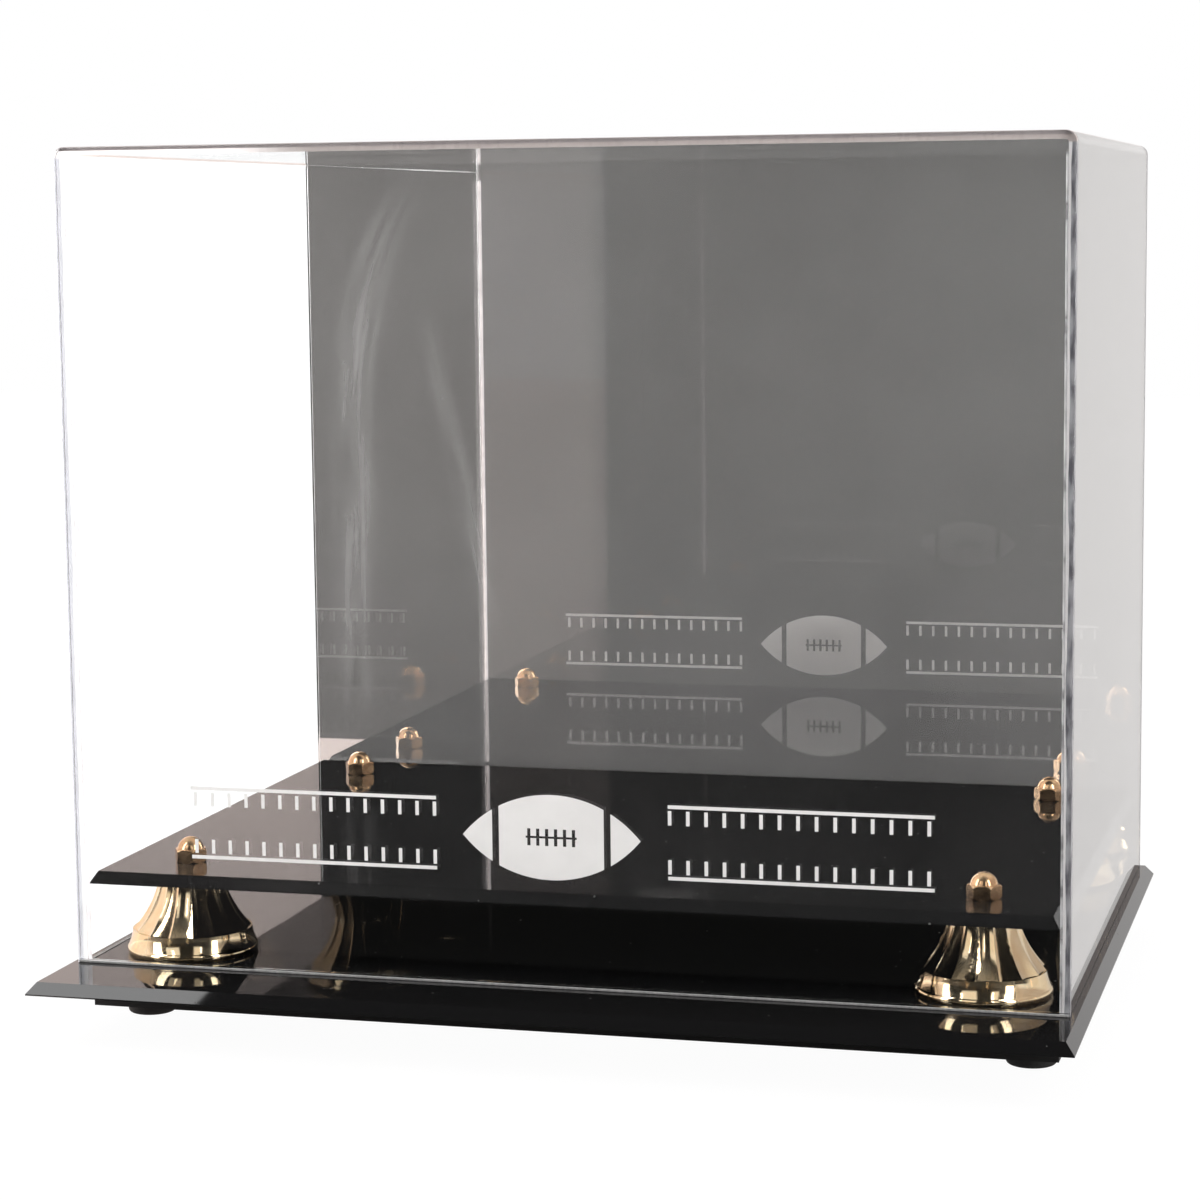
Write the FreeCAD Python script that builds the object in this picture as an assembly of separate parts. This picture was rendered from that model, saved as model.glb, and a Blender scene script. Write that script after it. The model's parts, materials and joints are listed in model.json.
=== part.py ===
import FreeCAD, Part
import math
import os

# Football display case: a clear lift-off cover with a mirror back, over a black platform
# that stands on four fluted bell risers on a bevelled black base.
# Millimetres. +X to the right, +Y to the back, +Z up. The origin is on the table,
# under the middle of the base.

# Cover
cover_width = 370.0
cover_depth = 260.0
cover_height = 302.5
sheet = 3.0
bend_inner_radius = 1.0

# Base plate
side_ledge = 2.2
front_ledge = 31.4
base_thickness = 4.5
base_bevel = 3.3
edge_land = 0.5

# Board under the base plate, cut to the platform's outline
board_thickness = 12.7

# Platform
platform_thickness = 4.5
platform_bevel = 2.4
platform_clearance = 1.2
mirror_clearance = 3.0

# Bell risers
riser_height = 29.6
riser_inset_side = 29.8
riser_inset_front = 26.5
riser_inset_back = 31.0
band_height = 9.1
band_foot_radius = 24.0
band_bulge_radius = 24.7
band_bulge_height = 1.2
band_waist_radius = 24.2
band_waist_height = 3.2
band_hollow_radius = 23.1
band_hollow_height = 6.0
band_top_radius = 22.6
shoulder_radius = 22.3
waist_radius = 16.7
waist_height = 16.4
neck_radius = 11.9
flute_count = 16
flute_depth = 1.2
flute_sections = 6
riser_wall = 2.0
riser_web = 3.5
boss_wall = 2.6

# Riser screws and their cap nuts
screw_radius = 3.175
screw_clearance = 0.25
thread_clearance = 0.05
screw_head_radius = 6.2
screw_head_height = 3.7
screw_head_round = 1.6
counterbore_depth = 6.0
counterbore_clearance = 0.8
nut_across_flats = 11.11
nut_hex_height = 5.2
nut_chamfer = 0.8
nut_dome_radius = 5.0
nut_height = 9.6
nut_engagement = 6.0
nut_bore_spare = 0.6

# Rubber feet and their screws
foot_height = 7.5
foot_top_radius = 9.75
foot_bottom_radius = 9.1
foot_round = 1.4
foot_inset_side = 12.6
foot_inset_front = 25.0
foot_inset_back = 25.0
foot_seat_height = 4.4
foot_hole_radius = 2.2
foot_recess_radius = 4.8
foot_screw_radius = 2.0
foot_screw_head_radius = 4.0
foot_screw_head_height = 2.4
foot_screw_bite = 8.5
foot_screw_point = 2.0
pilot_clearance = 0.1
pilot_spare = 0.8

# Heights of the stack, from the table up
board_bottom = foot_height
base_bottom = board_bottom + board_thickness
base_top = base_bottom + base_thickness
platform_bottom = base_top + riser_height
platform_top = platform_bottom + platform_thickness

# Outlines: the cover stands at the back edge of the base's top face
base_width = cover_width + 2 * (side_ledge + base_bevel)
base_depth = cover_depth + front_ledge + 2 * base_bevel
cover_back = base_depth / 2 - base_bevel
cover_front = cover_back - cover_depth
platform_width = cover_width - 2 * (sheet + platform_clearance)
platform_front = cover_front + sheet + platform_clearance
platform_back = cover_back - sheet - mirror_clearance
platform_depth = platform_back - platform_front
platform_middle = (platform_front + platform_back) / 2

riser_x = platform_width / 2 - riser_inset_side
foot_x = platform_width / 2 - foot_inset_side
corners = {
    "front_left": (-1, riser_inset_front, foot_inset_front),
    "front_right": (1, riser_inset_front, foot_inset_front),
    "back_left": (-1, -riser_inset_back, -foot_inset_back),
    "back_right": (1, -riser_inset_back, -foot_inset_back),
}


def corner_y(inset):
    # A positive inset is measured from the front edge, a negative one from the back edge.
    edge = platform_front if inset > 0 else platform_back
    return edge + inset


riser_places = {name: (side * riser_x, corner_y(riser)) for name, (side, riser, foot) in corners.items()}
foot_places = {name: (side * foot_x, corner_y(foot)) for name, (side, riser, foot) in corners.items()}


def vec(x, y, z):
    return FreeCAD.Vector(x, y, z)


def line(a, b):
    return Part.LineSegment(a, b).toShape()


def arc(a, middle, b):
    return Part.Arc(a, middle, b).toShape()


def polygon_edges(points):
    return [line(a, b) for a, b in zip(points, points[1:])]


def revolved(edges):
    face = Part.Face(Part.Wire(edges))
    return face.revolve(vec(0, 0, 0), vec(0, 0, 1), 360)


def cylinder(radius, low, high, x=0.0, y=0.0):
    return Part.makeCylinder(radius, high - low, vec(x, y, low))


def placed(shape, x, y, z=0.0):
    copy = shape.copy()
    copy.translate(vec(x, y, z))
    return copy


def rectangle(width, depth, middle, z):
    x = width / 2
    front = middle - depth / 2
    back = middle + depth / 2
    points = [vec(-x, front, z), vec(x, front, z), vec(x, back, z), vec(-x, back, z), vec(-x, front, z)]
    return Part.makePolygon(points)


def bevelled_plate(width, depth, middle, bottom, thickness, bevel):
    # Widest along the bottom, with a narrow square land and then a bevel up to the top face.
    land = rectangle(width, depth, middle, bottom + edge_land)
    foot = rectangle(width, depth, middle, bottom)
    top = rectangle(width - 2 * bevel, depth - 2 * bevel, middle, bottom + thickness)
    return Part.makeLoft([foot, land, top], True, True)


def arched_prism(width, height, radius, front, depth):
    # A panel outline with its two top corners rounded, extruded towards the back.
    x = width / 2
    low = base_top
    high = base_top + height
    slack = radius * (1 - math.sqrt(0.5))
    left_foot = vec(-x, front, low)
    left_bend = vec(-x, front, high - radius)
    left_top = vec(-x + radius, front, high)
    right_top = vec(x - radius, front, high)
    right_bend = vec(x, front, high - radius)
    right_foot = vec(x, front, low)
    edges = [
        line(left_foot, left_bend),
        arc(left_bend, vec(-x + slack, front, high - slack), left_top),
        line(left_top, right_top),
        arc(right_top, vec(x - slack, front, high - slack), right_bend),
        line(right_bend, right_foot),
        line(right_foot, left_foot),
    ]
    return Part.Face(Part.Wire(edges)).extrude(vec(0, depth, 0))


# Cover: one clear sheet bent over both sides and the top, between the front panel and the mirror
bend_outer_radius = bend_inner_radius + sheet


def end_panel(front):
    return arched_prism(cover_width, cover_height, bend_outer_radius, front, sheet)


def bent_wrap():
    front = cover_front + sheet
    depth = cover_depth - 2 * sheet
    outer = arched_prism(cover_width, cover_height, bend_outer_radius, front, depth)
    inner = arched_prism(cover_width - 2 * sheet, cover_height - sheet, bend_inner_radius, front, depth)
    return outer.cut(inner)


# Base, board and platform, each drilled for the riser screws
hole_radius = screw_radius + screw_clearance


def drilled(plate, low, high):
    for x, y in riser_places.values():
        plate = plate.cut(cylinder(hole_radius, low, high, x, y))
    return plate


def base_plate():
    plate = bevelled_plate(base_width, base_depth, 0.0, base_bottom, base_thickness, base_bevel)
    return drilled(plate, base_bottom, base_top)


def platform_plate():
    plate = bevelled_plate(
        platform_width, platform_depth, platform_middle, platform_bottom, platform_thickness, platform_bevel
    )
    return drilled(plate, platform_bottom, platform_top)


def under_board():
    corner = vec(-platform_width / 2, platform_front, board_bottom)
    board = Part.makeBox(platform_width, platform_depth, board_thickness, corner)
    board = drilled(board, board_bottom, base_bottom)
    recess = screw_head_radius + counterbore_clearance
    for x, y in riser_places.values():
        board = board.cut(cylinder(recess, board_bottom, board_bottom + counterbore_depth, x, y))
    pilot_top = board_bottom + foot_screw_bite + pilot_spare
    for x, y in foot_places.values():
        board = board.cut(cylinder(foot_screw_radius + pilot_clearance, board_bottom, pilot_top, x, y))
    return board


# Bell riser: a flared band below a concave fluted bell, hollow around a bored boss
def polar(radius, angle, z):
    return vec(radius * math.cos(angle), radius * math.sin(angle), z)


def depth_at(radius):
    return flute_depth * radius / shoulder_radius


def scalloped_wire(radius, z):
    step = 2 * math.pi / flute_count
    edges = []
    for i in range(flute_count):
        start = i * step
        valley = polar(radius - depth_at(radius), start + step / 2, z)
        edges.append(arc(polar(radius, start, z), valley, polar(radius, start + step, z)))
    return Part.Wire(edges)


def bell_curve():
    shoulder = vec(shoulder_radius, 0, band_height)
    waist = vec(waist_radius, 0, waist_height)
    neck = vec(neck_radius, 0, riser_height)
    return arc(shoulder, waist, neck)


def fluted_bell():
    sections = bell_curve().discretize(flute_sections)
    return Part.makeLoft([scalloped_wire(point.x, point.z) for point in sections], True, False)


def flared_band():
    foot = vec(band_foot_radius, 0, 0)
    bulge = vec(band_bulge_radius, 0, band_bulge_height)
    waist = vec(band_waist_radius, 0, band_waist_height)
    hollow = vec(band_hollow_radius, 0, band_hollow_height)
    rim = vec(band_top_radius, 0, band_height)
    edges = [
        line(vec(0, 0, 0), foot),
        arc(foot, bulge, waist),
        arc(waist, hollow, rim),
        line(rim, vec(0, 0, band_height)),
        line(vec(0, 0, band_height), vec(0, 0, 0)),
    ]
    return revolved(edges)


def riser_cavity():
    boss_radius = hole_radius + boss_wall
    ceiling = riser_height - riser_web
    shoulder = vec(shoulder_radius - depth_at(shoulder_radius) - riser_wall, 0, band_height)
    waist = vec(waist_radius - depth_at(waist_radius) - riser_wall, 0, waist_height)
    neck = vec(neck_radius - depth_at(neck_radius) - riser_wall, 0, ceiling)
    foot = vec(band_foot_radius - riser_wall, 0, 0)
    points = [neck, vec(boss_radius, 0, ceiling), vec(boss_radius, 0, 0), foot, shoulder]
    return revolved(polygon_edges(points) + [arc(shoulder, waist, neck)])


def bell_riser():
    bell = flared_band().fuse(fluted_bell())
    bell = bell.cut(riser_cavity())
    bell = bell.cut(cylinder(hole_radius, 0, riser_height))
    return bell.removeSplitter()


# Riser screw: pan head in the board's counterbore, shank up into the cap nut
def riser_screw():
    seat = board_bottom + counterbore_depth
    low = seat - screw_head_height
    tip = platform_top + nut_engagement
    shoulder = vec(screw_head_radius, 0, low + screw_head_round)
    crown = vec(screw_head_radius - screw_head_round, 0, low)
    slack = screw_head_round * (1 - math.sqrt(0.5))
    middle = vec(screw_head_radius - slack, 0, low + slack)
    points = [
        shoulder,
        vec(screw_head_radius, 0, seat),
        vec(screw_radius, 0, seat),
        vec(screw_radius, 0, tip),
        vec(0, 0, tip),
        vec(0, 0, low),
        crown,
    ]
    return revolved(polygon_edges(points) + [arc(crown, middle, shoulder)])


def cap_nut():
    # A chamfered hexagon under a dome, bored blind for the screw.
    corner_radius = nut_across_flats / math.sqrt(3)
    points = [polar(corner_radius, math.radians(60 * i), platform_top) for i in range(7)]
    hexagon = Part.Face(Part.makePolygon(points)).extrude(vec(0, 0, nut_hex_height))
    chamfer_points = [
        vec(0, 0, 0),
        vec(corner_radius - nut_chamfer, 0, 0),
        vec(corner_radius, 0, nut_chamfer),
        vec(corner_radius, 0, nut_hex_height - nut_chamfer),
        vec(corner_radius - nut_chamfer, 0, nut_hex_height),
        vec(0, 0, nut_hex_height),
        vec(0, 0, 0),
    ]
    turned = placed(revolved(polygon_edges(chamfer_points)), 0, 0, platform_top)
    centre = vec(0, 0, platform_top + nut_height - nut_dome_radius)
    dome = Part.makeSphere(nut_dome_radius, centre)
    above_table = cylinder(corner_radius, platform_top, platform_top + nut_height)
    nut = hexagon.common(turned).fuse(dome.common(above_table))
    bore_top = platform_top + nut_engagement + nut_bore_spare
    return nut.cut(cylinder(screw_radius + thread_clearance, platform_top, bore_top)).removeSplitter()


# Rubber foot: tapered, rounded below, recessed for its screw
def rubber_foot():
    slack = foot_round * (1 - math.sqrt(0.5))
    side = vec(foot_bottom_radius, 0, foot_round)
    tread = vec(foot_bottom_radius - foot_round, 0, 0)
    middle = vec(foot_bottom_radius - slack, 0, slack)
    points = [
        side,
        vec(foot_top_radius, 0, foot_height),
        vec(foot_hole_radius, 0, foot_height),
        vec(foot_hole_radius, 0, foot_seat_height),
        vec(foot_recess_radius, 0, foot_seat_height),
        vec(foot_recess_radius, 0, 0),
        tread,
    ]
    return revolved(polygon_edges(points) + [arc(tread, middle, side)])


def foot_screw():
    low = foot_seat_height - foot_screw_head_height
    tip = foot_height + foot_screw_bite
    points = [
        vec(0, 0, low),
        vec(foot_screw_head_radius, 0, low),
        vec(foot_screw_head_radius, 0, foot_seat_height),
        vec(foot_screw_radius, 0, foot_seat_height),
        vec(foot_screw_radius, 0, tip - foot_screw_point),
        vec(0, 0, tip),
        vec(0, 0, low),
    ]
    return revolved(polygon_edges(points))


def group(shape, places):
    return Part.makeCompound([placed(shape, x, y) for x, y in places.values()])


nodes = {
    "front_panel": end_panel(cover_front),
    "bent_wrap": bent_wrap(),
    "mirror_panel": end_panel(cover_back - sheet),
    "base_plate": base_plate(),
    "under_board": under_board(),
    "platform": platform_plate(),
    "riser_screws": group(riser_screw(), riser_places),
    "cap_nuts": group(cap_nut(), riser_places),
    "foot_screws": group(foot_screw(), foot_places),
}
bell = bell_riser()
foot = rubber_foot()
for name in corners:
    nodes["riser_" + name] = placed(bell, *riser_places[name], base_top)
    nodes["foot_" + name] = placed(foot, *foot_places[name])

os.makedirs("parts", exist_ok=True)
for name, shape in nodes.items():
    shape.exportStep("parts/" + name + ".step")
    print(name, "valid", shape.isValid(), "solids", len(shape.Solids), "volume", round(shape.Volume, 2))
print("base", base_width, "by", base_depth, "height", base_top + cover_height)
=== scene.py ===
import bpy
import json
import math
from mathutils import Matrix, Vector


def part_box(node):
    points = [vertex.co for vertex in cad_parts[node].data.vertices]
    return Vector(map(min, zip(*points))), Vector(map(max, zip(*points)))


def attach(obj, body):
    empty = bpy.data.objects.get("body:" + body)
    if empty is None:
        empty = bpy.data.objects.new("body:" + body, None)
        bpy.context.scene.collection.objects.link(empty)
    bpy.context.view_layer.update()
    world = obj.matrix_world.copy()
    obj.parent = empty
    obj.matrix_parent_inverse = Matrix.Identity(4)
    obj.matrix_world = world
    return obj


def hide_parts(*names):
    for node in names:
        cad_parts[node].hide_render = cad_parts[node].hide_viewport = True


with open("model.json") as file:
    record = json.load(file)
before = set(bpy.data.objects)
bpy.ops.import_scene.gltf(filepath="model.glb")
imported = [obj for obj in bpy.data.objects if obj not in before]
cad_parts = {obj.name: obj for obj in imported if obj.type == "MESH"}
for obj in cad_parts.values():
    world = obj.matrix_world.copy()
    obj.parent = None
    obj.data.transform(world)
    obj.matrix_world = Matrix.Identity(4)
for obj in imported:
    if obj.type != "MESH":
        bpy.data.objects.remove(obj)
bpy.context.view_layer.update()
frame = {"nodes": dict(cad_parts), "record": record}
nodes = frame["nodes"]
print("frame loaded,", len(nodes), "nodes")


# mesh helpers

def deselectAll():
    if bpy.context.mode != "OBJECT":
        bpy.ops.object.mode_set(mode="OBJECT")
    bpy.ops.object.select_all(action="DESELECT")


def makeActive(piece):
    deselectAll()
    piece.select_set(True)
    bpy.context.view_layer.objects.active = piece


def applyPlace(piece):
    makeActive(piece)
    bpy.ops.object.transform_apply(location=True, rotation=True, scale=True)


def startBlock(name, low, high):
    deselectAll()
    bpy.ops.mesh.primitive_cube_add(size=1, location=(low + high) / 2)
    piece = bpy.context.object
    piece.name = name
    piece.scale = high - low
    applyPlace(piece)
    return piece


def clearSelection(piece, kind):
    makeActive(piece)
    bpy.ops.object.mode_set(mode="EDIT")
    bpy.ops.mesh.select_mode(type=kind)
    bpy.ops.mesh.select_all(action="DESELECT")
    bpy.ops.object.mode_set(mode="OBJECT")


def pickEdges(piece, test):
    # leaves edit mode open with only the edges that pass the test selected
    clearSelection(piece, "EDGE")
    corners = piece.data.vertices
    for edge in piece.data.edges:
        edge.select = test(*(corners[i].co for i in edge.vertices))
    bpy.ops.object.mode_set(mode="EDIT")


def pickFaces(piece, test):
    # leaves edit mode open with only the faces that pass the test selected
    clearSelection(piece, "FACE")
    for face in piece.data.polygons:
        face.select = test(face.normal)
    bpy.ops.object.mode_set(mode="EDIT")


def applyModifier(piece, kind, **settings):
    makeActive(piece)
    made = piece.modifiers.new(kind.lower(), kind)
    for key, value in settings.items():
        setattr(made, key, value)
    bpy.ops.object.modifier_apply(modifier=made.name)


def smoothByAngle(piece, degrees):
    makeActive(piece)
    bpy.ops.object.shade_smooth_by_angle(angle=math.radians(degrees))


# shader helpers

def put(tree, socket, value):
    # another socket is wired in, anything else is set on the socket
    if isinstance(value, bpy.types.NodeSocket):
        tree.links.new(value, socket)
    else:
        socket.default_value = value


def addNode(tree, kind, inputs=None, **settings):
    made = tree.nodes.new(kind)
    for key, value in settings.items():
        setattr(made, key, value)
    for key, value in (inputs or {}).items():
        put(tree, made.inputs[key], value)
    return made


def calc(tree, operation, *values):
    made = addNode(tree, "ShaderNodeMath", operation=operation)
    for socket, value in zip(made.inputs, values):
        put(tree, socket, value)
    return made.outputs[0]


def times(tree, first, *others):
    for other in others:
        first = calc(tree, "MULTIPLY", first, other)
    return first


def scaled(tree, value, gain, base):
    return calc(tree, "MULTIPLY_ADD", value, gain, base)


def rampTo(tree, value, low, high, toLow=0.0, toHigh=1.0):
    made = addNode(tree, "ShaderNodeMapRange", interpolation_type="SMOOTHSTEP")
    for socket, number in zip(made.inputs, (value, low, high, toLow, toHigh)):
        put(tree, socket, number)
    return made.outputs[0]


def fadeOut(tree, value, low, high):
    return rampTo(tree, value, low, high, 1.0, 0.0)


def mixColour(tree, share, first, second):
    made = addNode(tree, "ShaderNodeMix", data_type="RGBA", blend_type="MIX")
    put(tree, made.inputs[0], share)
    for socket, colour in ((made.inputs[6], first), (made.inputs[7], second)):
        put(tree, socket, colour if isinstance(colour, bpy.types.NodeSocket) else (*colour, 1))
    return made.outputs[2]


def startMaterial(name, **plain):
    made = bpy.data.materials.new(name)
    made.use_nodes = True
    tree = made.node_tree
    shader = tree.nodes["Principled BSDF"]
    for key, value in plain.items():
        shader.inputs[key.replace("_", " ")].default_value = value
    return made, tree, shader


def wire(tree, shader, **values):
    for key, value in values.items():
        put(tree, shader.inputs[key.replace("_", " ")], value)


def objectCoords(tree):
    return addNode(tree, "ShaderNodeTexCoord").outputs["Object"]


def axesOf(tree, vector):
    return addNode(tree, "ShaderNodeSeparateXYZ", {0: vector}).outputs


def stretched(tree, place, factors):
    return addNode(tree, "ShaderNodeVectorMath", {0: place, 1: factors}, operation="MULTIPLY").outputs[0]


def noiseAt(tree, place, scale, **more):
    return addNode(tree, "ShaderNodeTexNoise", {"Vector": place, "Scale": scale, **more}).outputs["Fac"]


def bumpFrom(tree, height, distance, strength):
    made = addNode(tree, "ShaderNodeBump", {"Height": height, "Distance": distance, "Strength": strength})
    return made.outputs["Normal"]


# effects that several finishes share

def startGroup(name, output, **inputs):
    tree = bpy.data.node_groups.new(name, "ShaderNodeTree")
    tree.interface.new_socket("Place", in_out="INPUT", socket_type="NodeSocketVector")
    for key, value in inputs.items():
        made = tree.interface.new_socket(key.replace("_", " "), in_out="INPUT", socket_type="NodeSocketFloat")
        made.default_value = value
    tree.interface.new_socket(output, in_out="OUTPUT", socket_type="NodeSocketFloat")
    return tree, addNode(tree, "NodeGroupInput").outputs, addNode(tree, "NodeGroupOutput").inputs


speckSize = {"spread": 0.16, "least": 0.05}


def dustGroup():
    # sparse pale specks, each a small round cell of its own size
    tree, given, out = startGroup("dustSpecks", "Specks", Per_Metre=500.0, Share=0.1)
    cells = addNode(tree, "ShaderNodeTexVoronoi", {"Vector": given["Place"], "Scale": given["Per Metre"]})
    chance = addNode(tree, "ShaderNodeSeparateColor", {0: cells.outputs["Color"]})
    kept = calc(tree, "LESS_THAN", chance.outputs[0], given["Share"])
    radius = scaled(tree, chance.outputs[1], speckSize["spread"], speckSize["least"])
    near = calc(tree, "LESS_THAN", cells.outputs["Distance"], radius)
    put(tree, out["Specks"], times(tree, kept, near))
    return tree


rubbedLines = {"angles": (0.4, 2.3), "tilt": 0.7, "drawn": (1.0, 0.02, 0.4), "wide": 0.025,
               "breaks": 22.0, "hidden": 0.75, "perShare": 0.5, "soft": 0.12}


def hairlineGroup():
    # fine rubbed lines in two directions, broken up by a slow noise
    look = rubbedLines
    tree, given, out = startGroup("hairlines", "Lines", Per_Metre=900.0, Share=0.3)
    slow = noiseAt(tree, given["Place"], look["breaks"], Detail=2.0)
    lines = None
    for angle in look["angles"]:
        turn = (angle, angle * look["tilt"], angle)
        turned = addNode(tree, "ShaderNodeMapping", {"Vector": given["Place"], "Rotation": turn})
        drawn = stretched(tree, turned.outputs[0], look["drawn"])
        fine = noiseAt(tree, drawn, given["Per Metre"], Detail=1.0)
        ridge = calc(tree, "ABSOLUTE", calc(tree, "SUBTRACT", fine, 0.5))
        line = fadeOut(tree, ridge, 0.0, look["wide"])
        lines = line if lines is None else calc(tree, "MAXIMUM", lines, line)
    limit = calc(tree, "SUBTRACT", look["hidden"], times(tree, given["Share"], look["perShare"]))
    shown = rampTo(tree, slow, limit, calc(tree, "ADD", limit, look["soft"]))
    put(tree, out["Lines"], times(tree, lines, shown))
    return tree


def mottleGroup():
    # slow cloudy change, from 0 to 1 about a middle of a half
    tree, given, out = startGroup("mottle", "Cloud", Per_Metre=40.0, Detail=4.0)
    noise = noiseAt(tree, given["Place"], given["Per Metre"], Detail=given["Detail"])
    put(tree, out["Cloud"], rampTo(tree, noise, 0.3, 0.7))
    return tree


dustSpecks = dustGroup()
hairlines = hairlineGroup()
mottle = mottleGroup()


def effect(tree, group, place, **values):
    made = addNode(tree, "ShaderNodeGroup", node_tree=group)
    put(tree, made.inputs["Place"], place)
    for key, value in values.items():
        put(tree, made.inputs[key.replace("_", " ")], value)
    return made.outputs[0]


# finishes; a rough pair is the gain on the effect and the base under it, a bump pair is distance and strength

clearLook = {"tints": ((0.980, 0.986, 0.988), (0.992, 0.994, 0.996)), "lineRough": 0.02,
             "bump": (0.0001, 0.04), "shadow": (0.94, 0.95, 0.95, 1)}


def clearAcrylic():
    made, tree, shader = startMaterial("clearAcrylic", Transmission_Weight=1.0, IOR=1.49)
    place = objectCoords(tree)
    cloud = effect(tree, mottle, place, Per_Metre=9.0, Detail=1.0)
    lines = effect(tree, hairlines, place, Per_Metre=700.0, Share=0.15)
    wire(
        tree, shader,
        Base_Color=mixColour(tree, cloud, *clearLook["tints"]),
        Roughness=times(tree, lines, clearLook["lineRough"]),
        Normal=bumpFrom(tree, cloud, *clearLook["bump"]),
    )
    shadowRay = addNode(tree, "ShaderNodeLightPath").outputs["Is Shadow Ray"]
    clear = addNode(tree, "ShaderNodeBsdfTransparent", {"Color": clearLook["shadow"]})
    mix = addNode(tree, "ShaderNodeMixShader", {0: shadowRay, 1: shader.outputs[0], 2: clear.outputs[0]})
    put(tree, tree.nodes["Material Output"].inputs["Surface"], mix.outputs[0])
    return made


# secondShine and secondBelow raise the shine low on the mirror where it is seen in a reflection, a
# painted-light stand-in
mirrorLook = {
    "shine": 0.85, "secondShine": 0.145, "secondBelow": (0.13, 0.2),
    "silver": (0.84, 0.82, 0.81), "paints": ((0.31, 0.31, 0.32), (0.345, 0.345, 0.355)),
    "frontFrom": (-0.6, -0.4), "film": 0.14, "smearHaze": 0.17, "speckHaze": 0.05,
    "frontRough": (0.02, 0.002), "backRough": 0.45,
}
clothMarks = (
    {"foot": (-0.163, 0.177), "bow": 0.033, "rise": 0.147, "power": 3, "wide": 0.013, "share": 1.0,
     "from": 0.06, "to": 0.33},
    {"foot": (-0.111, 0.177), "bow": -0.016, "rise": 0.075, "power": 1, "wide": 0.007, "share": 0.7,
     "from": 0.09, "to": 0.27},
)
clothStreaks = {"across": 1.7, "along": 11.0, "scale": 1.3, "shown": (0.3, 0.72), "sides": (0.15, 1.1),
                "footFade": 0.06, "headFade": 0.05}


def wipeMark(tree, x, z, wipe):
    # one bowed pass of a cloth, streaked along its length and soft at its sides
    footX, footZ = wipe["foot"]
    up = calc(tree, "DIVIDE", calc(tree, "SUBTRACT", z, footZ), wipe["rise"])
    if wipe["power"] > 1:
        up = calc(tree, "POWER", calc(tree, "MAXIMUM", up, 0.0), wipe["power"])
    middle = scaled(tree, up, wipe["bow"], footX)
    across = calc(tree, "DIVIDE", calc(tree, "SUBTRACT", x, middle), wipe["wide"])
    acrossAlong = {0: times(tree, across, clothStreaks["across"]), 2: times(tree, z, clothStreaks["along"])}
    streaks = addNode(tree, "ShaderNodeCombineXYZ", acrossAlong).outputs[0]
    noise = noiseAt(tree, streaks, clothStreaks["scale"], Detail=4.0, Roughness=0.55)
    soft = rampTo(tree, calc(tree, "ABSOLUTE", across), *clothStreaks["sides"], wipe["share"], 0.0)
    foot = rampTo(tree, z, wipe["from"], wipe["from"] + clothStreaks["footFade"])
    head = fadeOut(tree, z, wipe["to"] - clothStreaks["headFade"], wipe["to"])
    return times(tree, soft, times(tree, foot, head), rampTo(tree, noise, *clothStreaks["shown"]))


def mirrorAcrylic():
    look = mirrorLook
    made, tree, shader = startMaterial("mirrorAcrylic", IOR=1.49)
    place = objectCoords(tree)
    facing = axesOf(tree, addNode(tree, "ShaderNodeNewGeometry").outputs["Normal"])
    front = fadeOut(tree, facing["Y"], *look["frontFrom"])
    where = axesOf(tree, place)
    marks = [wipeMark(tree, where["X"], where["Z"], wipe) for wipe in clothMarks]
    film = times(tree, effect(tree, mottle, place, Per_Metre=16.0, Detail=3.0), look["film"])
    smear = calc(tree, "ADD", calc(tree, "MAXIMUM", *marks), film)
    specks = effect(tree, dustSpecks, place, Per_Metre=420.0, Share=0.02)
    haze = calc(tree, "ADD", times(tree, smear, look["smearHaze"]), times(tree, specks, look["speckHaze"]))
    # painted light: low on the mirror, where it is seen in a reflection such as in the black plates, the
    # shine is raised, so its grey haze shows only when it is seen directly; that haze is partly the film and
    # smears, partly a stand-in for front light scattered back
    shineInReflections = calc(tree, "GREATER_THAN", addNode(tree, "ShaderNodeLightPath").outputs["Glossy Depth"], 0.5)
    shineInReflections = times(tree, shineInReflections, rampTo(tree, where["Z"], *look["secondBelow"], look["secondShine"], 0.0))
    shine = calc(tree, "ADD", shineInReflections, calc(tree, "SUBTRACT", look["shine"], haze))
    paint = mixColour(tree, effect(tree, mottle, place, Per_Metre=120.0), *look["paints"])
    frontRough = scaled(tree, smear, *look["frontRough"])
    wire(
        tree, shader,
        Metallic=times(tree, front, shine),
        Base_Color=mixColour(tree, front, paint, look["silver"]),
        Roughness=scaled(tree, calc(tree, "SUBTRACT", 1.0, front), look["backRough"], frontRough),
    )
    return made


blackLook = {"black": (0.0085, 0.0085, 0.0088), "speck": (0.10, 0.10, 0.095), "rough": (0.015, 0.018),
             "lineRough": 0.10, "speckRough": 0.5, "bump": (0.0002, 0.12)}


def blackAcrylic():
    made, tree, shader = startMaterial("blackAcrylic", IOR=1.4)
    place = objectCoords(tree)
    specks = effect(tree, dustSpecks, place, Per_Metre=420.0, Share=0.03)
    lines = effect(tree, hairlines, place, Per_Metre=600.0, Share=0.25)
    cloud = effect(tree, mottle, place, Per_Metre=18.0, Detail=2.0)
    swell = effect(tree, mottle, place, Per_Metre=14.0, Detail=1.0)
    rough = scaled(tree, cloud, *blackLook["rough"])
    rough = calc(tree, "MAXIMUM", rough, times(tree, lines, blackLook["lineRough"]))
    wire(
        tree, shader,
        Base_Color=mixColour(tree, specks, blackLook["black"], blackLook["speck"]),
        Roughness=calc(tree, "MAXIMUM", rough, times(tree, specks, blackLook["speckRough"])),
        Normal=bumpFrom(tree, swell, *blackLook["bump"]),
    )
    return made


goldLook = {"tones": ((0.90, 0.69, 0.42), (0.95, 0.79, 0.54)), "bellFoot": (0.0345, 0.0375),
            "bellTop": (0.044, 0.05), "topShare": 0.15, "offBell": (0.9, 0.1), "pitDepth": 0.3,
            "rough": (0.05, 0.06), "bump": (0.0001, 0.14)}


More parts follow.
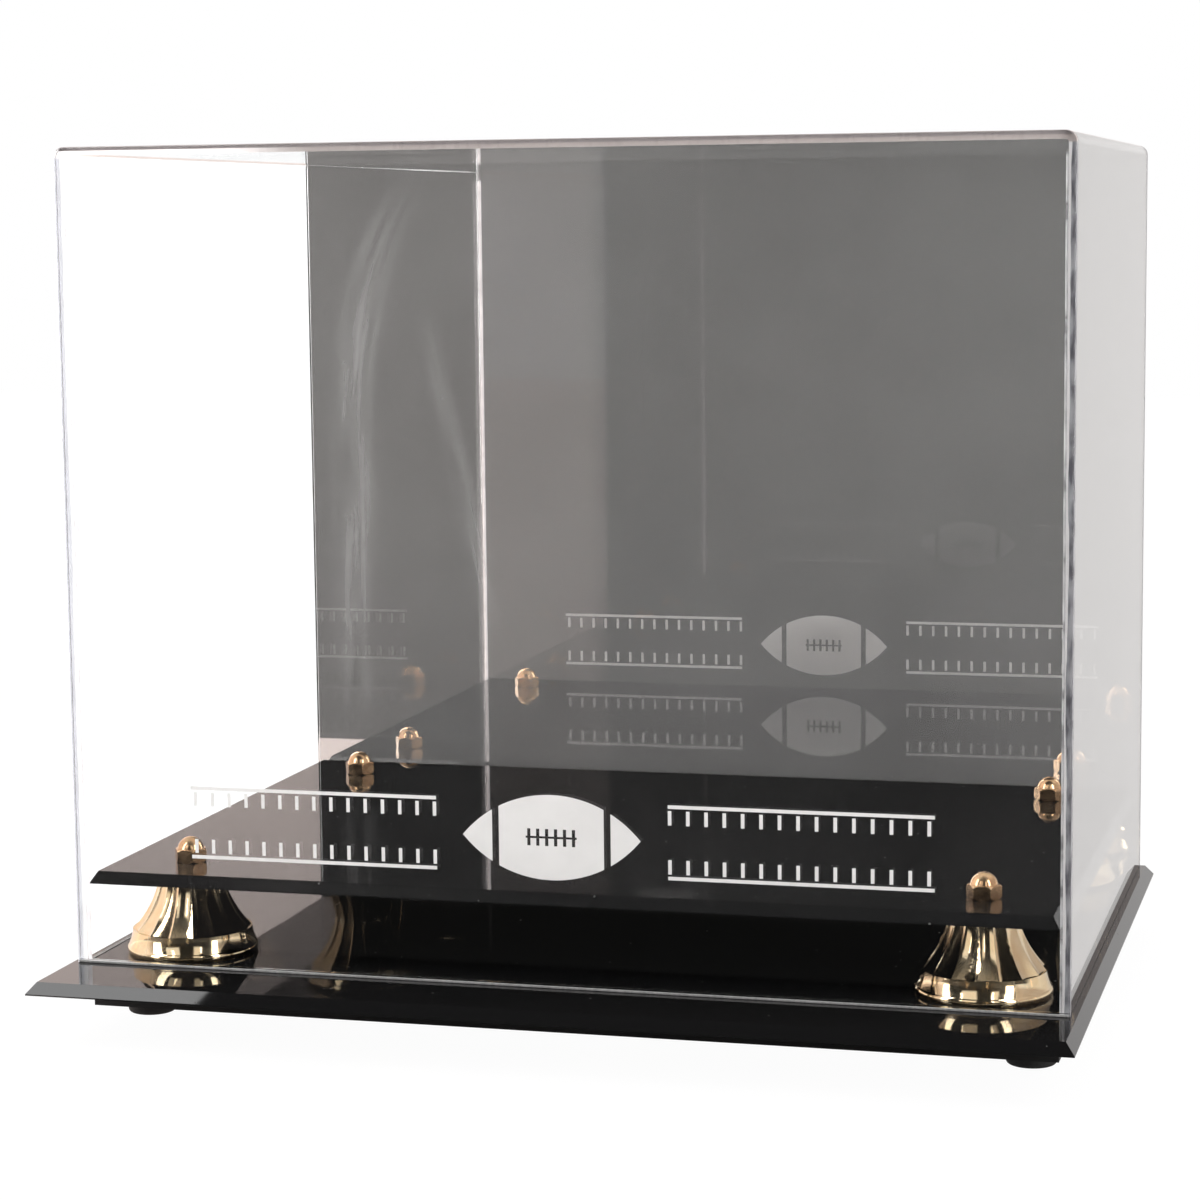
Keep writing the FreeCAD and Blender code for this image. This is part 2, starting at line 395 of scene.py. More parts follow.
def goldPlate():
    # bright plating over a casting: faint pits low on the bell, a warmer tone in the dips
    look = goldLook
    made, tree, shader = startMaterial("goldPlate", Metallic=1.0)
    place = objectCoords(tree)
    height = axesOf(tree, place)["Z"]
    top = rampTo(tree, height, *look["bellTop"], 1.0, look["topShare"])
    onBell = times(tree, rampTo(tree, height, *look["bellFoot"]), top)
    cast = effect(tree, mottle, place, Per_Metre=650.0, Detail=2.0)
    pits = effect(tree, dustSpecks, place, Per_Metre=700.0, Share=0.3)
    slow = effect(tree, mottle, place, Per_Metre=110.0, Detail=2.0)
    skin = calc(tree, "SUBTRACT", times(tree, cast, slow), times(tree, pits, look["pitDepth"]))
    skin = times(tree, skin, scaled(tree, onBell, *look["offBell"]))
    wire(
        tree, shader,
        Base_Color=mixColour(tree, slow, *look["tones"]),
        Roughness=scaled(tree, cast, *look["rough"]),
        Normal=bumpFrom(tree, skin, *look["bump"]),
    )
    return made


brassLook = {"tones": ((0.63, 0.40, 0.225), (0.75, 0.515, 0.305)), "rough": (0.10, 0.13),
             "bump": (0.00005, 0.25)}


def polishedBrass():
    made, tree, shader = startMaterial("polishedBrass", Metallic=1.0)
    place = objectCoords(tree)
    slow = effect(tree, mottle, place, Per_Metre=260.0, Detail=3.0)
    lines = effect(tree, hairlines, place, Per_Metre=2600.0, Share=0.6)
    wire(
        tree, shader,
        Base_Color=mixColour(tree, slow, *brassLook["tones"]),
        Roughness=scaled(tree, calc(tree, "MAXIMUM", slow, lines), *brassLook["rough"]),
        Normal=bumpFrom(tree, slow, *brassLook["bump"]),
    )
    return made


zincLook = {"tones": ((0.50, 0.50, 0.49), (0.66, 0.66, 0.67)), "rough": (0.2, 0.22)}


def zincScrew():
    made, tree, shader = startMaterial("zincScrew", Metallic=1.0)
    slow = effect(tree, mottle, objectCoords(tree), Per_Metre=420.0, Detail=4.0)
    wire(
        tree, shader,
        Base_Color=mixColour(tree, slow, *zincLook["tones"]),
        Roughness=scaled(tree, slow, *zincLook["rough"]),
    )
    return made


boardLook = {"tones": ((0.009, 0.009, 0.0095), (0.018, 0.0175, 0.017)), "fibre": (0.12, 0.12, 1.0),
             "rough": (0.18, 0.42), "bump": (0.00015, 0.5)}


def paintedBoard():
    # brushed black paint over a fibre board, with the fibres just raised
    made, tree, shader = startMaterial("paintedBoard", IOR=1.45)
    place = objectCoords(tree)
    fibre = effect(tree, mottle, stretched(tree, place, boardLook["fibre"]), Per_Metre=1500.0, Detail=5.0)
    cloud = effect(tree, mottle, place, Per_Metre=35.0)
    wire(
        tree, shader,
        Base_Color=mixColour(tree, cloud, *boardLook["tones"]),
        Roughness=scaled(tree, fibre, *boardLook["rough"]),
        Normal=bumpFrom(tree, fibre, *boardLook["bump"]),
    )
    return made


rubberLook = {"tones": ((0.012, 0.012, 0.012), (0.026, 0.026, 0.025)), "rough": (0.2, 0.55),
              "bump": (0.0001, 0.5)}


def footRubber():
    made, tree, shader = startMaterial("footRubber", IOR=1.5)
    place = objectCoords(tree)
    grain = effect(tree, mottle, place, Per_Metre=2400.0, Detail=3.0)
    cloud = effect(tree, mottle, place, Per_Metre=180.0)
    wire(
        tree, shader,
        Base_Color=mixColour(tree, cloud, *rubberLook["tones"]),
        Roughness=scaled(tree, grain, *rubberLook["rough"]),
        Normal=bumpFrom(tree, grain, *rubberLook["bump"]),
    )
    return made


printLook = {"tones": ((0.88, 0.875, 0.865), (0.93, 0.925, 0.915)), "rough": (0.15, 0.4)}


def whitePrint():
    made, tree, shader = startMaterial("whitePrint", IOR=1.45)
    place = objectCoords(tree)
    cloud = effect(tree, mottle, place, Per_Metre=60.0)
    grain = effect(tree, mottle, place, Per_Metre=3000.0, Detail=2.0)
    wire(
        tree, shader,
        Base_Color=mixColour(tree, cloud, *printLook["tones"]),
        Roughness=scaled(tree, grain, *printLook["rough"]),
    )
    return made


# the glow tones are painted light, emitted by the cement though it is no lamp
seamLook = {
    "pale": (0.80, 0.80, 0.83), "dark": (0.15, 0.145, 0.165), "line": (0.92, 0.90, 0.90),
    "drawn": (1.0, 1.0, 0.25), "sideways": (-0.02, 0.02), "patchClear": (-0.55, 1.0),
    "waveReach": 0.34, "leftReach": 0.25, "rightReach": 0.03, "rough": (0.3, 0.2),
    "topLine": (0.47, 0.42, 0.42), "topBand": (0.57, 0.50, 0.48), "topFrom": (1.4, 1.2),
    "topLineWide": 0.0013, "topLineSoft": 1.15,
    "topPaintedGlow": (0.92, 0.92, 0.92), "topPaintedGlowEnd": (-0.13, -0.085), "sidePaintedGlow": (0.39, 0.39, 0.415),
    "innerPaintedGlow": (0.62, 0.61, 0.61), "patchPaintedGlow": (0.3, 0.8),
}
# black emission, where no painted glow is wanted
noPaintedGlow = (0, 0, 0)


def cementSeam(halfWidth, sheet, topZ):
    # solvent cement between two sheets: pale where crazed, dark where clear, with a wavy inner line, and
    # painted light: an emission glow on its left side and along its top left
    look = seamLook
    made, tree, shader = startMaterial("cementSeam", IOR=1.45, Emission_Strength=1.0)
    place = objectCoords(tree)
    where = axesOf(tree, place)
    across = rampTo(tree, calc(tree, "ABSOLUTE", where["X"]), halfWidth - sheet, halfWidth)
    drawn = stretched(tree, place, look["drawn"])
    wave = effect(tree, mottle, drawn, Per_Metre=90.0, Detail=3.0)
    patches = effect(tree, mottle, drawn, Per_Metre=420.0, Detail=3.0)
    right = rampTo(tree, where["X"], *look["sideways"])
    front = fadeOut(tree, where["Y"], *look["sideways"])
    clearer = times(tree, right, front, scaled(tree, patches, *look["patchClear"]))
    body = mixColour(tree, clearer, look["pale"], look["dark"])
    # the inner line reaches further on the left, where it also takes the painted glow
    reach = rampTo(tree, where["X"], *look["sideways"], look["leftReach"], look["rightReach"])
    inner = calc(tree, "LESS_THAN", across, scaled(tree, wave, look["waveReach"], reach))
    body = mixColour(tree, inner, body, look["line"])
    # along the top there is a darker outer line over a pale band
    onTop = rampTo(tree, where["Z"], *(topZ - sheet * step for step in look["topFrom"]))
    wide = look["topLineWide"]
    outer = rampTo(tree, where["Z"], topZ - wide * look["topLineSoft"], topZ - wide)
    top = mixColour(tree, outer, look["topBand"], look["topLine"])
    # painted light: on the left an emission glow stands in for the backdrop's light gathered in the sheets'
    # edges
    inside = calc(tree, "SUBTRACT", 1.0, outer)
    paintedGlowTopShare = times(tree, fadeOut(tree, where["X"], *look["topPaintedGlowEnd"]), inside)
    left = fadeOut(tree, where["X"], *look["sideways"])
    paintedGlowSideShare = times(tree, left, scaled(tree, patches, *look["patchPaintedGlow"]))
    paintedSideEmission = mixColour(tree, paintedGlowSideShare, noPaintedGlow, mixColour(tree, inner, look["sidePaintedGlow"], look["innerPaintedGlow"]))
    paintedTopEmission = mixColour(tree, paintedGlowTopShare, noPaintedGlow, look["topPaintedGlow"])
    wire(
        tree, shader,
        Base_Color=mixColour(tree, onTop, body, top),
        Emission_Color=mixColour(tree, onTop, paintedSideEmission, paintedTopEmission),
        Roughness=scaled(tree, patches, *look["rough"]),
    )
    return made


# the glow tone is painted light, emitted on the left of the bead though it is no lamp
beadLook = {"tones": ((0.55, 0.54, 0.56), (0.88, 0.87, 0.88)), "drawn": (0.3, 1.0, 0.3), "rough": (0.2, 0.1),
            "sideways": (-0.02, 0.02), "glow": (0.56, 0.52, 0.52), "leftShare": 0.9,
            "run": (0.1, 0.5), "runShare": (0.35, 0.95), "end": (0.318, 0.321)}


def cementRun():
    # clear cement that has run along the corner, thick in places and gone in others, with a painted glow
    # emitted on its left
    look = beadLook
    made, tree, shader = startMaterial("cementRun", IOR=1.45, Emission_Strength=1.0)
    place = objectCoords(tree)
    run = effect(tree, mottle, stretched(tree, place, look["drawn"]), Per_Metre=260.0, Detail=3.0)
    where = axesOf(tree, place)
    left = fadeOut(tree, where["X"], *look["sideways"])
    thick = rampTo(tree, run, *look["run"], *look["runShare"])
    share = calc(tree, "MAXIMUM", times(tree, left, look["leftShare"]), thick)
    wire(
        tree, shader,
        Base_Color=mixColour(tree, run, *look["tones"]),
        Roughness=scaled(tree, run, *look["rough"]),
        # painted light: the bead's left side emits a pale glow though it is no lamp
        Emission_Color=mixColour(tree, left, noPaintedGlow, look["glow"]),
        Alpha=times(tree, share, fadeOut(tree, where["Z"], *look["end"])),
    )
    return made


sawnLook = {"tones": ((0.30, 0.30, 0.30), (0.46, 0.45, 0.45)), "drawn": (1.0, 0.1, 0.3),
            "rough": (0.3, 0.4), "bump": (0.0001, 0.4)}


def sawnEdge():
    made, tree, shader = startMaterial("sawnEdge", IOR=1.45)
    drawn = stretched(tree, objectCoords(tree), sawnLook["drawn"])
    teeth = effect(tree, mottle, drawn, Per_Metre=1400.0, Detail=3.0)
    wire(
        tree, shader,
        Base_Color=mixColour(tree, teeth, *sawnLook["tones"]),
        Roughness=scaled(tree, teeth, *sawnLook["rough"]),
        Normal=bumpFrom(tree, teeth, *sawnLook["bump"]),
    )
    return made


coverLow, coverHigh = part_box("bent_wrap")
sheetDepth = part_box("front_panel")[1].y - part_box("front_panel")[0].y
finishes = {
    "clear_acrylic": clearAcrylic(),
    "mirror_acrylic": mirrorAcrylic(),
    "black_acrylic": blackAcrylic(),
    "black_board": paintedBoard(),
    "gold_riser": goldPlate(),
    "brass_nut": polishedBrass(),
    "steel_screw": zincScrew(),
    "rubber_foot": footRubber(),
    "white_print": whitePrint(),
}
seamFinish = cementSeam(coverHigh.x, sheetDepth, coverHigh.z)
frostFinish = sawnEdge()
beadFinish = cementRun()
for part in frame["record"]["subparts"]:
    piece = nodes[part["node"]]
    piece.data.materials.clear()
    piece.data.materials.append(finishes[part["material_slot"]])
print("finishes assigned")


# clear sheets of the cover, and the cement between them
clearSheet = {
    "bendRadius": 0.004, "bendSteps": 12, "polishedEdge": 0.00025, "seam": 0.00003, "stand": 0.0001,
    "sawCut": 0.0009, "rim": 0.0002, "rimThick": 0.00018, "sharp": 40, "smooth": 50,
}
cement = {"thick": 0.00004, "bead": (0.0009, 0.0008), "leftBead": 0.0015, "beadBend": 0.001,
          "beadRound": 0.35}
samePlace = 1e-6


def easeEdges(piece, width):
    applyModifier(
        piece, "BEVEL", width=width, segments=2, limit_method="ANGLE",
        angle_limit=math.radians(clearSheet["sharp"]),
    )
    smoothByAngle(piece, clearSheet["smooth"])


def polishEdges(piece):
    easeEdges(piece, clearSheet["polishedEdge"])
    applyModifier(piece, "WEIGHTED_NORMAL", mode="FACE_AREA", weight=100, keep_sharp=True)


def roundTopCorners(piece, high, bend):
    def topCorner(a, b):
        return abs(a.y - b.y) > samePlace and all(abs(c.z - high.z) < samePlace for c in (a, b))

    pickEdges(piece, topCorner)
    bpy.ops.mesh.bevel(offset=bend, segments=clearSheet["bendSteps"], affect="EDGES")
    bpy.ops.object.mode_set(mode="OBJECT")


def archedSheet(name, low, high, thickness=sheetDepth, bend=clearSheet["bendRadius"]):
    # a sheet bent over both sides and the top, open in front, behind and below
    piece = startBlock(name, low, high)

    def openSide(normal):
        return abs(normal.y) > 0.9 or normal.z < -0.9

    pickFaces(piece, openSide)
    bpy.ops.mesh.delete(type="FACE")
    bpy.ops.object.mode_set(mode="OBJECT")
    roundTopCorners(piece, high, bend)
    applyModifier(piece, "SOLIDIFY", thickness=thickness, offset=-1, use_even_offset=True)
    return piece


def clearFront():
    low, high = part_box("front_panel")
    rim = clearSheet["rim"]
    low += Vector((rim, 0, clearSheet["stand"] + clearSheet["sawCut"]))
    high -= Vector((rim, clearSheet["seam"], rim))
    piece = startBlock("front_sheet", low, high)
    roundTopCorners(piece, high, clearSheet["bendRadius"] - rim)
    polishEdges(piece)
    return piece


def clearWrap():
    low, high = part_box("bent_wrap")
    low += Vector((0, clearSheet["seam"], clearSheet["stand"]))
    high.y -= clearSheet["seam"]
    piece = archedSheet("wrap_sheet", low, high)
    polishEdges(piece)
    return piece


def joinCover(piece, finish):
    piece.data.materials.append(finish)
    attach(piece, "cover")


def cementLine(name, joint):
    low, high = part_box("bent_wrap")
    low.y = joint - cement["thick"] / 2
    high.y = joint + cement["thick"] / 2
    low.z += clearSheet["stand"]
    joinCover(archedSheet(name, low, high), seamFinish)


def frontRim():
    # the cut edge all round the front sheet, less clear than its faces
    low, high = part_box("front_panel")
    low.z += clearSheet["stand"]
    high.y -= clearSheet["seam"]
    piece = archedSheet("front_rim", low, high, clearSheet["rimThick"])
    smoothByAngle(piece, clearSheet["smooth"])
    # the rim takes the seam's finish, with its painted glow on the left
    joinCover(piece, seamFinish)


def cementBead():
    # the small run of cement in the inner corner behind the front sheet, wider on the left
    low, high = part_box("bent_wrap")
    inset = sheetDepth + clearSheet["seam"]
    wide, deep = cement["bead"]
    low += Vector((inset, clearSheet["seam"], clearSheet["stand"]))
    high -= Vector((inset, 0, inset))
    high.y = low.y + deep
    piece = archedSheet("front_bead", low, high, wide, cement["beadBend"])
    near, far = wide * 0.95, cement["beadBend"] * 1.1

    def innerLeft(a, b):
        return all(near < c.x - low.x < far and c.z < high.z - near for c in (a, b))

    pickEdges(piece, innerLeft)
    bpy.ops.transform.translate(value=(cement["leftBead"] - wide, 0, 0))
    bpy.ops.object.mode_set(mode="OBJECT")
    easeEdges(piece, wide * cement["beadRound"])
    joinCover(piece, beadFinish)


def frostedFoot():
    # the saw-cut lower edge of the front sheet, which stays pale under its polished faces
    low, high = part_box("front_panel")
    low.z += clearSheet["stand"] / 2
    high.z = low.z + clearSheet["sawCut"]
    low.x += clearSheet["rim"]
    high.x -= clearSheet["rim"]
    high.y -= clearSheet["seam"]
    piece = startBlock("front_cut_edge", low, high)
    applyModifier(piece, "BEVEL", width=clearSheet["polishedEdge"], segments=2, limit_method="ANGLE")
    joinCover(piece, frostFinish)


for build, node in ((clearFront, "front_panel"), (clearWrap, "bent_wrap")):
    piece = build()
    joinCover(piece, finishes["clear_acrylic"])
    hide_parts(node)
cementLine("front_cement", coverLow.y)
cementLine("back_cement", coverHigh.y)
cementBead()
frontRim()
frostedFoot()
print("clear sheets built")


# cap nuts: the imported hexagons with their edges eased
capNut = {"ease": 0.0008, "steps": 4, "sharp": 28, "smooth": 40, "flat": 1}


def easedNuts():
    piece = bpy.data.objects.new("eased_cap_nuts", nodes["cap_nuts"].data.copy())
    bpy.context.scene.collection.objects.link(piece)
    makeActive(piece)
    bpy.ops.object.mode_set(mode="EDIT")
    bpy.ops.mesh.select_all(action="SELECT")
    bpy.ops.mesh.remove_doubles(threshold=samePlace)
    bpy.ops.mesh.dissolve_limited(angle_limit=math.radians(capNut["flat"]))
    bpy.ops.object.mode_set(mode="OBJECT")
    applyModifier(
        piece, "BEVEL", width=capNut["ease"], segments=capNut["steps"], limit_method="ANGLE",
        angle_limit=math.radians(capNut["sharp"]), use_clamp_overlap=True,
    )
    smoothByAngle(piece, capNut["smooth"])
    applyModifier(piece, "WEIGHTED_NORMAL", mode="FACE_AREA", weight=60, keep_sharp=True)
    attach(piece, "base")
    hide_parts("cap_nuts")


easedNuts()
print("cap nuts eased")


# plain white motif on the front sheet: a ball shape between two rails of yard marks
frontMotif = {"height": 0.080, "thick": 0.00005, "lift": 0.00001, "cutDeep": 4}
ballMotif = {"half": (0.033, 0.0155), "steps": 40, "stripe": (0.0195, 0.0220), "lace": (0.0095, 0.0008),
             "stitch": (0.0012, 0.0062), "stitches": 6}
yardMotif = {"from": 0.043, "to": 0.138, "rise": 0.0135, "wide": 0.0013, "gap": 1.6, "markLong": 0.0052,
             "every": 0.0066, "marks": 15}
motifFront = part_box("front_panel")[0].y - frontMotif["lift"]


def motifBlock(name, left, right, bottom, top, deep=1.0):
    middle = motifFront - frontMotif["thick"] / 2
    half = frontMotif["thick"] / 2 * deep
    z = frontMotif["height"]
    low = Vector((left, middle - half, z + bottom))
    high = Vector((right, middle + half, z + top))
    return startBlock(name, low, high)


def cutAway(piece, name, left, right, bottom, top):
    cutter = motifBlock(name, left, right, bottom, top, frontMotif["cutDeep"])
    applyModifier(piece, "BOOLEAN", object=cutter, operation="DIFFERENCE", solver="EXACT")
    bpy.data.objects.remove(cutter)


def ballOutline(centre, long, tall):
    # two arcs spun from the left tip, filled and given the print's thickness
    radius = (long ** 2 + tall ** 2) / (2 * tall)
    sweep = 2 * math.asin(long / radius)
    near = 1e-5
    deselectAll()
    bpy.ops.mesh.primitive_plane_add(size=0.001, location=centre - Vector((long, 0, 0)))
    piece = bpy.context.object
    piece.name = "front_print"
    applyPlace(piece)
    bpy.ops.object.mode_set(mode="EDIT")
    bpy.ops.mesh.select_all(action="SELECT")
    bpy.ops.mesh.merge(type="CENTER")
    for turn in (1, -1):
        pivot = centre - Vector((0, 0, turn * (radius - tall)))
        bpy.ops.object.mode_set(mode="OBJECT")
        for corner in piece.data.vertices:
            corner.select = abs(corner.co.x + long) < near and abs(corner.co.z - centre.z) < near
        bpy.ops.object.mode_set(mode="EDIT")
        bpy.ops.mesh.select_mode(type="VERT")
        bpy.ops.mesh.spin(steps=ballMotif["steps"], angle=-turn * sweep, center=pivot, axis=(0, 1, 0))
    bpy.ops.mesh.select_all(action="SELECT")
    bpy.ops.mesh.remove_doubles(threshold=near)
    bpy.ops.mesh.edge_face_add()
    bpy.ops.mesh.extrude_region_move(TRANSFORM_OT_translate={"value": (0, -frontMotif["thick"], 0)})
    bpy.ops.mesh.select_all(action="SELECT")
    bpy.ops.mesh.normals_make_consistent(inside=False)
    bpy.ops.object.mode_set(mode="OBJECT")
    return piece


def ballShape():
    long, tall = ballMotif["half"]
    piece = ballOutline(Vector((0, motifFront, frontMotif["height"])), long, tall)
    inner, outer = ballMotif["stripe"]
    for left, right in ((-outer, -inner), (inner, outer)):
        cutAway(piece, "stripeCut", left, right, -tall, tall)
    half, slim = ballMotif["lace"]
    cutAway(piece, "laceCut", -half, half, -slim / 2, slim / 2)
    wide, high = ballMotif["stitch"]
    for step in range(ballMotif["stitches"]):
        middle = (step / (ballMotif["stitches"] - 1) - 0.5) * 2 * (half - wide)
        cutAway(piece, "stitchCut", middle - wide / 2, middle + wide / 2, -high / 2, high / 2)
    return piece


def yardMarks():
    # one rail with one mark, repeated along it, then mirrored to the other side and the other rail
    m = yardMotif
    rail = motifBlock("yard_rail", m["from"], m["to"], -m["rise"], m["wide"] - m["rise"])
    foot = m["wide"] * m["gap"] - m["rise"]
    mark = motifBlock("yard_mark", m["from"], m["from"] + m["wide"], foot, foot + m["markLong"])
    applyModifier(
        mark, "ARRAY", count=m["marks"], use_relative_offset=False, use_constant_offset=True,
        constant_offset_displace=(m["every"], 0, 0),
    )
    makeActive(rail)
    mark.select_set(True)
    bpy.ops.object.join()
    empty = bpy.data.objects.new("motifMiddle", None)
    empty.location = (0, 0, frontMotif["height"])
    bpy.context.scene.collection.objects.link(empty)
    applyModifier(rail, "MIRROR", use_axis=(True, False, True), use_mirror_merge=False, mirror_object=empty)
    bpy.data.objects.remove(empty)
    return rail


def whiteMotif():
    piece = ballShape()
    marks = yardMarks()
    makeActive(piece)
    marks.select_set(True)
    bpy.ops.object.join()
    applyModifier(piece, "TRIANGULATE")
    piece.data.materials.clear()
    piece.data.materials.append(finishes["white_print"])
    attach(piece, "cover")


whiteMotif()
print("front motif printed")


# studio: white where it is seen straight or through the clear sheets, a dim room in reflections
# the pairs are where one part of the room gives way to the next, along one axis of the direction
studio = {
    "white": (1, 1, 1), "throughClear": 1.7,
    "backLeft": (1.34, 1.14, 1.07), "backRight": (0.88, 0.86, 0.85), "leftToRight": (-0.30, -0.02),
    "backRightHigh": (0.58, 0.52, 0.50), "highFrom": (0.10, 0.22), "highRightOf": (-0.05, 0.08),
    "backLow": (1.5, 1.5, 1.5), "lowUnder": (0.0, 0.05), "lowLeftOf": (-0.25, -0.05),
    "overhead": (0.95, 0.93, 0.90), "overheadFrom": (0.5, 0.8), "overheadBehind": (-0.6, 0.2),
    "frontHigh": (0.02, 0.02, 0.02), "frontRise": (0.03, 0.12), "frontToBack": (-0.62, -0.25),
    "frontLow": (0.045, 0.045, 0.043), "frontLowLeft": (0.095, 0.088, 0.084),
    "frontEdge": -0.27, "edgeSoft": 0.004, "least": 0.01,
}
metalPanels = {"tone": (1.05, 1.00, 0.94), "foot": (0.24, 0.34), "top": (0.66, 0.74),
               "sides": ((-0.62, -0.05), (0.40, 0.72)), "soft": 0.05}
paleFloor = {"size": 8.0, "paint": (0.9, 0.9, 0.9, 1), "glow": 0.93, "strength": 1.04,
             "mirroredEye": (0.3014, 1.446), "leftToRight": (-0.25, 0.1), "frontToBack": (-0.15, 0.0),
             "tableEnd": (-0.243, -0.236), "tableSide": (-0.21, -0.19)}


def raysPast(tree):
    # masks: seen directly, seen through clear sheets alone, seen in a reflection
    path = addNode(tree, "ShaderNodeLightPath").outputs
    first = calc(tree, "LESS_THAN", calc(tree, "ADD", path["Glossy Depth"], path["Diffuse Depth"]), 0.5)
    through = times(tree, path["Is Transmission Ray"], first)
    return path["Is Camera Ray"], through, calc(tree, "GREATER_THAN", path["Glossy Depth"], 0.5)


def frontRoom(tree, slope):
    # the dim room in front, a little lighter on its left, with a plain upright edge between
    edge, soft = studio["frontEdge"], studio["edgeSoft"]
    right = rampTo(tree, slope, edge - soft, edge + soft)
    return mixColour(tree, right, studio["frontLowLeft"], studio["frontLow"])


def panelMask(tree, slope, rise):
    # two pale panels above the camera, there in reflections alone, for the polished metal
    soft = metalPanels["soft"]
    upright = times(tree, rampTo(tree, rise, *metalPanels["foot"]), fadeOut(tree, rise, *metalPanels["top"]))
    sides = [
        times(tree, rampTo(tree, slope, left, left + soft), fadeOut(tree, slope, right - soft, right))
        for left, right in metalPanels["sides"]
    ]
    return times(tree, upright, calc(tree, "MAXIMUM", *sides))


def buildWorld():
    world = bpy.data.worlds.new("studioRoom")
    bpy.context.scene.world = world
    world.use_nodes = True
    tree = world.node_tree
    axis = axesOf(tree, addNode(tree, "ShaderNodeTexCoord").outputs["Generated"])
    ahead = calc(tree, "MAXIMUM", times(tree, axis["Y"], -1.0), studio["least"])
    slope = calc(tree, "DIVIDE", axis["X"], ahead)
    level = calc(tree, "SQRT", calc(tree, "SUBTRACT", 1.0, times(tree, axis["Z"], axis["Z"])))
    depth = calc(tree, "DIVIDE", axis["Y"], calc(tree, "MAXIMUM", level, studio["least"]))
    direct, through, mirrored = raysPast(tree)

    rise = rampTo(tree, axis["Z"], *studio["frontRise"])
    front = mixColour(tree, rise, frontRoom(tree, slope), studio["frontHigh"])
    panels = times(tree, panelMask(tree, slope, axis["Z"]), mirrored)
    front = mixColour(tree, panels, front, metalPanels["tone"])

    right = rampTo(tree, axis["X"], *studio["leftToRight"])
    back = mixColour(tree, right, studio["backLeft"], studio["backRight"])
    high = rampTo(tree, axis["Z"], *studio["highFrom"])
    high = times(tree, high, rampTo(tree, axis["X"], *studio["highRightOf"]))
    back = mixColour(tree, high, back, studio["backRightHigh"])
    low = fadeOut(tree, axis["Z"], *studio["lowUnder"])
    low = times(tree, low, fadeOut(tree, axis["X"], *studio["lowLeftOf"]))
    back = mixColour(tree, low, back, studio["backLow"])

    room = mixColour(tree, rampTo(tree, depth, *studio["frontToBack"]), front, back)
    behind = rampTo(tree, depth, *studio["overheadBehind"])
    above = times(tree, rampTo(tree, axis["Z"], *studio["overheadFrom"]), behind)
    room = mixColour(tree, above, room, studio["overhead"])
    seen = mixColour(tree, through, room, (studio["throughClear"],) * 3)
    seen = mixColour(tree, direct, seen, studio["white"])
    put(tree, tree.nodes["Background"].inputs["Color"], seen)


def mirroredFloor(tree):
    # in reflections a pale table ends just before the case, and the front room's edge runs on over the
    # floor in a fixed line, laid out from the photo's viewpoint as mirrored in the back wall
    place = axesOf(tree, objectCoords(tree))
    eyeX, eyeY = paleFloor["mirroredEye"]
    away = calc(tree, "SUBTRACT", eyeY, place["Y"])
    slope = calc(tree, "DIVIDE", calc(tree, "SUBTRACT", place["X"], eyeX), away)
    right = rampTo(tree, place["X"], *paleFloor["leftToRight"])
    back = mixColour(tree, right, studio["backLeft"], studio["backRight"])
    tableSide = fadeOut(tree, place["X"], *paleFloor["tableSide"])
    table = times(tree, rampTo(tree, place["Y"], *paleFloor["tableEnd"]), tableSide)
    near = calc(tree, "MAXIMUM", table, rampTo(tree, place["Y"], *paleFloor["frontToBack"]))
    return mixColour(tree, near, frontRoom(tree, slope), back)


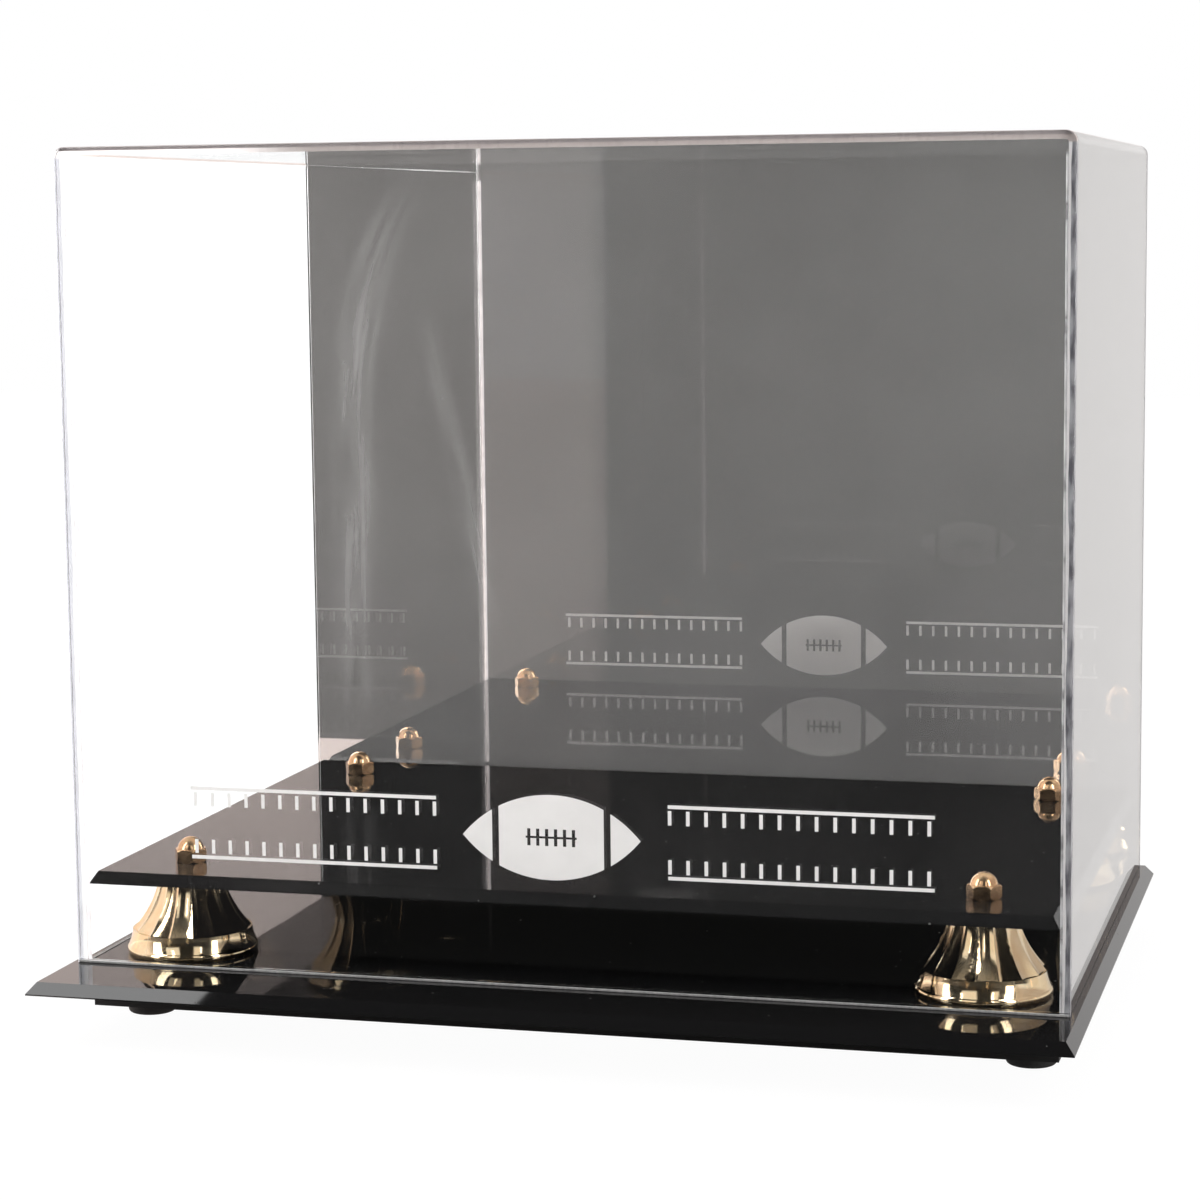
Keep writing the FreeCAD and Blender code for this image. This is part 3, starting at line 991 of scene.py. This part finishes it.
def buildFloor():
    deselectAll()
    bpy.ops.mesh.primitive_plane_add(size=paleFloor["size"])
    floor = bpy.context.object
    floor.name = "floor"
    made, tree, shader = startMaterial("paleFloor", Base_Color=paleFloor["paint"], Roughness=0.9)
    direct, through, mirrored = raysPast(tree)
    straight = calc(tree, "MAXIMUM", direct, through)
    strength = scaled(tree, through, studio["throughClear"] - 1.0, paleFloor["strength"])
    glow = addNode(tree, "ShaderNodeEmission", {"Color": (*studio["white"], 1), "Strength": strength})
    share = times(tree, straight, paleFloor["glow"])
    shaded = addNode(tree, "ShaderNodeMixShader", {0: share, 1: shader.outputs[0], 2: glow.outputs[0]})
    dim = addNode(tree, "ShaderNodeEmission", {"Color": mirroredFloor(tree)})
    final = addNode(tree, "ShaderNodeMixShader", {0: mirrored, 1: shaded.outputs[0], 2: dim.outputs[0]})
    put(tree, tree.nodes["Material Output"].inputs["Surface"], final.outputs[0])
    floor.data.materials.append(made)


softBoxes = {
    "left": {"place": (-0.60, -0.50, 0.45), "size": (0.20, 0.80), "watts": 3.6},
    "right": {"place": (0.75, -0.52, 0.45), "size": (0.20, 0.80), "watts": 3.6},
    "leftStrip": {"place": (-0.42, -1.00, 0.66), "size": (0.06, 0.36), "watts": 0.25},
    "rightStrip": {"place": (0.58, -1.05, 0.62), "size": (0.07, 0.40), "watts": 0.30},
}
lampAim = Vector((0, 0, 0.1))


def buildLights():
    for name, box in softBoxes.items():
        lamp = bpy.data.lights.new(name + "SoftBox", "AREA")
        lamp.shape = "RECTANGLE"
        lamp.size, lamp.size_y = box["size"]
        lamp.energy = box["watts"]
        holder = bpy.data.objects.new(name + "SoftBox", lamp)
        bpy.context.scene.collection.objects.link(holder)
        holder.location = box["place"]
        holder.rotation_euler = (lampAim - holder.location).to_track_quat("-Z", "Y").to_euler()


photoView = {"place": (0.3014, -1.1607, 0.2989), "turn": 15.103, "tilt": 6.990, "roll": -0.596,
             "lens": 92.95, "sensor": 36}


def buildCamera():
    camera = bpy.data.cameras.new("photoCamera")
    camera.lens = photoView["lens"]
    camera.sensor_width = photoView["sensor"]
    holder = bpy.data.objects.new("photoCamera", camera)
    bpy.context.scene.collection.objects.link(holder)
    holder.location = photoView["place"]
    turn = Matrix.Rotation(math.radians(photoView["turn"]), 4, "Z")
    tilt = Matrix.Rotation(math.radians(90 - photoView["tilt"]), 4, "X")
    roll = Matrix.Rotation(math.radians(photoView["roll"]), 4, "Z")
    holder.rotation_euler = (turn @ tilt @ roll).to_euler()
    bpy.context.scene.camera = holder


buildWorld()
buildFloor()
buildLights()
buildCamera()
bpy.context.scene.view_settings.view_transform = "Standard"
print("studio built")
